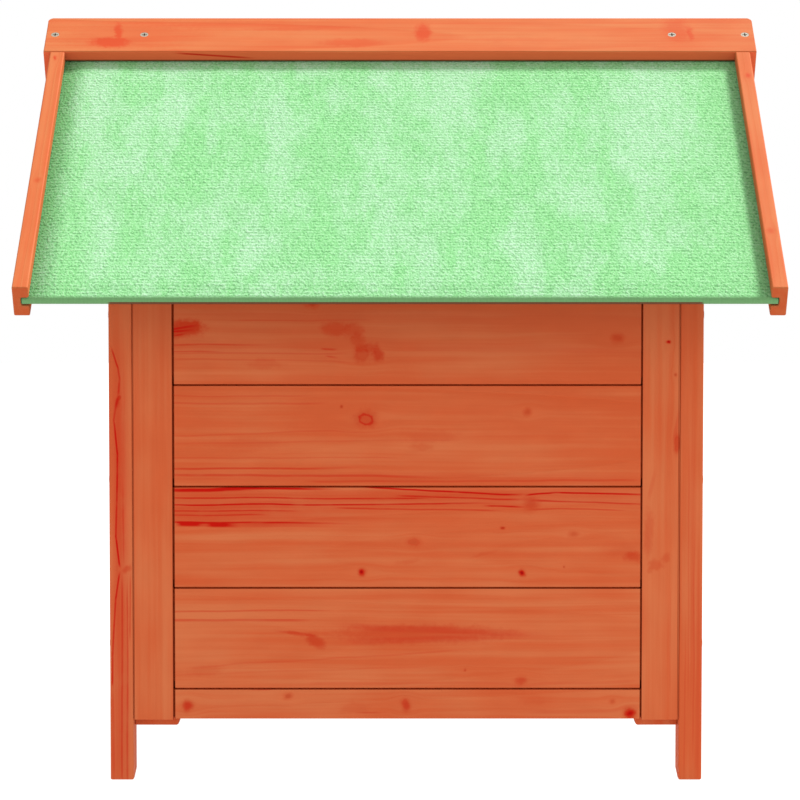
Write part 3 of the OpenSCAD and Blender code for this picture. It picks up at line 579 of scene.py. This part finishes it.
# ---------------------------------------------------------------------------
# Knitted roof felt
# ---------------------------------------------------------------------------
def felt_mat(name, up, out):
    g = Graph(name)
    P = g.position()
    e0 = (0, -EAVE_HALF if up is UP_R else EAVE_HALF, EAVE_Z)
    x = g.vec("DOT_PRODUCT", P, X)
    u = g.vec("DOT_PRODUCT", P, up) - dot(e0, up)
    v = g.vec("DOT_PRODUCT", P, out) - dot(e0, out)
    xu = g.xyz(x, u, v)

    def at(a, b, k=0.0):
        return g.vec("MULTIPLY_ADD", xu, (a, b, 0.0), (k, 2 * k, 0.5 * k))

    # a knit of small loops in rows, each row set off sideways from the last, with ragged dark gaps
    wu = u + (g.noise(at(0.025, 0.05, 4.0), 2.0) - 0.5) * 4.0
    wx = x + (g.noise(at(0.030, 0.030, 9.0), 2.0) - 0.5) * 6.0
    rows = g.math("SINE", wu * (2 * math.pi / 3.45)) * 0.5 + 0.5
    twill = g.math("SINE", wx * (2 * math.pi / 4.29) + wu * (2 * math.pi / 6.90)) * 0.5 + 0.5
    clump = g.noise(at(0.82, 0.58, 3.0), 2.0, 0.5)
    knit = clump * 0.855 + rows * 0.105 + twill * 0.040
    gap = g.ranged(knit, 0.32, 0.485, 1.0, 0.0)
    tip = g.ranged(knit, 0.50, 0.66)

    # whitish worn streaks run down the slope, broken up by the loops
    wear = g.noise(at(0.040, 0.0050, 12.0), 3.0, 0.6)
    patch = g.noise(at(0.016, 0.011, 21.0), 2.0)
    mottle = g.noise(at(0.060, 0.028, 33.0), 3.0, 0.6)
    worn = g.ranged(wear * 0.40 + patch * 0.25 + mottle * 0.35, 0.42, 0.61)
    worn = worn * g.ranged(x, -242.0, -231.0, 0.15, 1.0) * g.ranged(x, 206.0, 224.0, 1.0, 0.1)
    # the felt dips along the rails; painted shade darkens it there, more along the left rail
    side = g.math("MAXIMUM", g.ranged(x, -241.0, -219.0, 1.0, 0.0), g.ranged(x, 222.0, 240.0, 0.0, 0.45))

    deep, main, light, white = (0.056, 0.190, 0.060), (0.203, 0.526, 0.200), (0.296, 0.592, 0.288), (0.418, 0.600, 0.440)
    col = g.mix(tip, main, light)
    col = g.mix(worn * (tip * 0.38 + 0.40), col, white)
    # dark knit gaps, deeper in the painted shade along the rails
    col = g.mix(gap * (0.54 - worn * 0.16 + side * 0.34), col, deep)
    # painted shade along the rails, darker and greener along the left rail
    col = g.shade(col, 1.0 - side * 0.42)
    col = g.mix(g.ranged(x, -241.0, -219.0, 0.3, 0.0), col, (0.03, 0.31, 0.03))
    # plain binding along the eave, darker than the knit; its darkening fades in above the edge as painted shade of the
    # rounding
    lip = g.ranged(u + (g.noise(at(0.12, 0.0, 31.0), 2.0) - 0.5) * 1.2, 0.3, 5.4, 1.0, 0.0)
    lip = lip * lip
    under = g.ranged(v, -12.2, -11.0, 1.0, 0.0)
    plain = g.math("MAXIMUM", lip, under)
    weave = g.lin(g.noise(at(0.9, 0.9, 14.0), 2.0), 0.3, 0.7, 0.828, 0.972)
    col = g.mix(plain, col, (0.150, 0.330, 0.132))
    # painted shadow: a dark brown line along the lower edge of the lip, only where it hangs over the wall
    eave_shadow_line = g.ranged(v, -11.9, -11.2, 1.0, 0.0) * g.ranged(u, 3.0, 4.0, 1.0, 0.0) * g.ranged(x, -189.0, -186.5) * g.ranged(x, 194.0, 196.5, 1.0, 0.0)
    col = g.mix(eave_shadow_line, col, (0.120, 0.042, 0.015))
    col = g.shade(col, weave)
    h = knit * (1.0 - plain * 0.85)
    return g.principled(col, 0.92, g.bump(h, 0.0012), Specular_IOR_Level=0.1, Sheen_Weight=0.1, Sheen_Roughness=0.5)


def make_felt(name, cad, up, out):
    """The felt lies on the roof sheet, wraps the eave edge and turns back underneath"""
    side = -1 if up is UP_R else 1
    outer, inner = [], []
    steps = 92
    for i in range(steps + 1):
        uu = SHEET_TOP_U + (2.1 - SHEET_TOP_U) * i / steps
        outer.append((uu, V_FELT))
        inner.append((max(uu, 1.25), V_DECK))
    r = 2.1
    low = V_UNDER - 0.4
    for i in range(1, 8):
        a = math.pi / 2 + math.pi / 2 * i / 7
        outer.append((r + r * math.cos(a), V_FELT - r + r * math.sin(a)))
        inner.append((1.25 + 0.05 * math.cos(a), V_DECK - 0.02 + 0.05 * math.sin(a)))
    for i in range(1, 8):
        a = math.pi + math.pi / 2 * i / 7
        outer.append((r + r * math.cos(a), low + r + r * math.sin(a)))
        inner.append((1.25 + 0.05 * math.cos(a), V_UNDER + 0.02 + 0.05 * math.sin(a)))
    for i in range(1, 7):
        uu = r + (17.0 - r) * i / 6
        outer.append((uu, low))
        inner.append((uu, V_UNDER - 0.03))
    cols = [-SHEET_HALF + 2 * SHEET_HALF * i / 164 for i in range(165)]
    rnd = random.Random(5 if side < 0 else 6)
    waves = [(rnd.uniform(0.02, 0.09), rnd.uniform(0.015, 0.06), rnd.uniform(0, 6.28), rnd.uniform(0, 6.28)) for _ in range(9)]
    bm = bmesh.new()

    def smooth(t):
        t = min(1.0, max(0.0, t))
        return t * t * (3 - 2 * t)

    def place(x, uu, vv):
        y = side * (EAVE_HALF - (uu * CP - vv * SP)) if side > 0 else -EAVE_HALF + uu * CP - vv * SP
        z = EAVE_Z + uu * SP + vv * CP
        return bm.verts.new((x / 1000, y / 1000, z / 1000))

    rings = []
    for x in cols:
        top = []
        for uu, vv in outer:
            lift = 0.0
            if vv == V_FELT:
                s = sum(math.sin(a * x + p) * math.sin(b * uu + q) for a, b, p, q in waves) / 9
                fade = smooth((uu - 3) / 14) * smooth((283 - uu) / 10) * smooth((238.5 - abs(x)) / 13)
                lift = (0.95 + 0.7 * s) * fade
            top.append(place(x, uu, vv + max(0.0, lift)))
        rings.append((top, [place(x, uu, vv) for uu, vv in inner]))
    k = len(outer)
    for (t0, i0), (t1, i1) in zip(rings, rings[1:]):
        for j in range(k - 1):
            bm.faces.new((t0[j], t0[j + 1], t1[j + 1], t1[j]))
            bm.faces.new((i0[j], i1[j], i1[j + 1], i0[j + 1]))
        bm.faces.new((t0[0], t1[0], i1[0], i0[0]))
        bm.faces.new((t0[-1], i0[-1], i1[-1], t1[-1]))
    for t, i in (rings[0], rings[-1]):
        for j in range(k - 1):
            bm.faces.new((t[j], i[j], i[j + 1], t[j + 1]))
    bmesh.ops.recalc_face_normals(bm, faces=bm.faces)
    for f in bm.faces:
        f.smooth = True
    me = bpy.data.meshes.new(name)
    bm.to_mesh(me)
    bm.free()
    o = bpy.data.objects.new(name, me)
    scene.collection.objects.link(o)
    me.materials.append(felt_mat(name, up, out))
    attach(o, "root")
    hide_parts(cad)
    return o


# ---------------------------------------------------------------------------
# Plated screws
# ---------------------------------------------------------------------------
def steel_mat():
    g = Graph("plated_steel")
    P = g.position()
    patch = g.noise(g.scaled(P, 0.9), 3.0, 0.6)
    fine = g.noise(g.scaled(P, 6.0), 2.0, 0.6)
    col = g.mix(g.ranged(patch, 0.35, 0.7), (0.31, 0.270, 0.205), (0.25, 0.220, 0.172))
    return g.principled(col, g.lin(patch, 0.3, 0.7, 0.42, 0.58), g.bump(fine, 0.00004), Metallic=0.2)


# ---------------------------------------------------------------------------
# Eased edges, as a modifier stack on the CAD pieces
# ---------------------------------------------------------------------------
def edge_weights(name, short, full, least):
    """Marks sharp edges for easing: long ones fully, the short ones of holes and round corners hardly"""
    t = bpy.data.node_groups.new(name, "GeometryNodeTree")
    t.interface.new_socket("Geometry", in_out="INPUT", socket_type="NodeSocketGeometry")
    t.interface.new_socket("Geometry", in_out="OUTPUT", socket_type="NodeSocketGeometry")
    a, z = t.nodes.new("NodeGroupInput"), t.nodes.new("NodeGroupOutput")
    angle = t.nodes.new("GeometryNodeInputMeshEdgeAngle")
    ends = t.nodes.new("GeometryNodeInputMeshEdgeVertices")
    span = t.nodes.new("ShaderNodeVectorMath")
    span.operation = "DISTANCE"
    sharp = t.nodes.new("ShaderNodeMath")
    sharp.operation = "GREATER_THAN"
    sharp.inputs[1].default_value = 0.6
    size = t.nodes.new("ShaderNodeMapRange")
    for i, v in ((1, short), (2, full), (3, least), (4, 1.0)):
        size.inputs[i].default_value = v
    both = t.nodes.new("ShaderNodeMath")
    both.operation = "MULTIPLY"
    store = t.nodes.new("GeometryNodeStoreNamedAttribute")
    store.data_type, store.domain = "FLOAT", "EDGE"
    store.inputs["Name"].default_value = "bevel_weight_edge"
    t.links.new(ends.outputs["Position 1"], span.inputs[0])
    t.links.new(ends.outputs["Position 2"], span.inputs[1])
    t.links.new(span.outputs["Value"], size.inputs[0])
    t.links.new(angle.outputs["Unsigned Angle"], sharp.inputs[0])
    t.links.new(size.outputs[0], both.inputs[0])
    t.links.new(sharp.outputs[0], both.inputs[1])
    t.links.new(both.outputs[0], store.inputs["Value"])
    t.links.new(a.outputs[0], store.inputs["Geometry"])
    t.links.new(store.outputs[0], z.inputs[0])
    return t


EASE = edge_weights("eased_edges", 0.00034, 0.00048, 0.12)
EASE_LONG = edge_weights("eased_long_edges", 0.0024, 0.0040, 0.0)


def ease(name, width, segments=3, group=EASE):
    o = nodes[name]
    m = o.modifiers.new("joined", "WELD")
    m.merge_threshold = 0.000004
    m = o.modifiers.new("flat", "DECIMATE")
    m.decimate_type = "DISSOLVE"
    m.angle_limit = 0.004
    m = o.modifiers.new("marked", "NODES")
    m.node_group = group
    m = o.modifiers.new("eased", "BEVEL")
    m.width = width / 1000
    m.segments = segments
    m.limit_method = "WEIGHT"
    m.use_clamp_overlap = False
    m.harden_normals = True
    m = o.modifiers.new("normals", "WEIGHTED_NORMAL")
    m.keep_sharp = False


def ease_all():
    for n in nodes:
        if "felt" in n or "screws" in n:
            continue
        if "ridge" in n:
            ease(n, 0.9, 4, EASE_LONG)
        elif "rail" in n:
            ease(n, 1.1, 4)
        elif "post" in n:
            ease(n, 1.2, 4)
        elif "rafter" in n or "jamb" in n:
            ease(n, 0.9)
        elif "batten" in n:
            ease(n, 0.45, 3, EASE_LONG)
        elif "stile" in n:
            ease(n, 0.45)
        elif "sheet" in n or "floor" in n:
            ease(n, 0.4, 2)
        else:
            ease(n, 0.35)


# ---------------------------------------------------------------------------
# Floor, light and camera
# ---------------------------------------------------------------------------
def stage():
    bm = bmesh.new()
    bmesh.ops.create_circle(bm, cap_ends=True, segments=96, radius=6.0)
    me = bpy.data.meshes.new("studio_floor")
    bm.to_mesh(me)
    bm.free()
    o = bpy.data.objects.new("studio_floor", me)
    o.location = (0, 0, -0.0004)
    scene.collection.objects.link(o)
    g = Graph("studio_floor")
    g.principled((0.12, 0.12, 0.12), 0.9, Specular_IOR_Level=0.0, Emission_Color=(1, 1, 1, 1), Emission_Strength=1.02)
    me.materials.append(g.mat)

    w = bpy.data.worlds.new("studio")
    w.use_nodes = True
    bg = next(n for n in w.node_tree.nodes if n.type == "BACKGROUND")
    bg.inputs["Color"].default_value = (1, 1, 1, 1)
    bg.inputs["Strength"].default_value = 1.0
    scene.world = w

    key = bpy.data.lights.new("key", "SUN")
    key.energy = 5.67
    key.angle = math.radians(11)
    k = bpy.data.objects.new("key", key)
    k.rotation_euler = Vector((0.98, 0.777, 1.766)).to_track_quat("Z", "Y").to_euler()
    scene.collection.objects.link(k)

    cam = bpy.data.cameras.new("camera")
    cam.lens, cam.sensor_width = 141.26, 36.0
    c = bpy.data.objects.new("camera", cam)
    c.location = (0, -2.2866, 0.375)
    c.rotation_euler = (math.radians(90 - 3.2842), 0, 0)
    scene.collection.objects.link(c)
    scene.camera = c
    scene.view_settings.view_transform = "Standard"
    scene.view_settings.look = "None"


paint_walls()
paint_gables()
paint_roof()
ease_all()
STEEL = steel_mat()
for n in ("ridge_screws", "corner_screws", "floor_screws"):
    dress(n, STEEL)
make_felt("right_felt_cover", "right_roof_felt", UP_R, OUT_R)
make_felt("left_felt_cover", "left_roof_felt", UP_L, OUT_L)
stage()

bpy.context.view_layer.update()
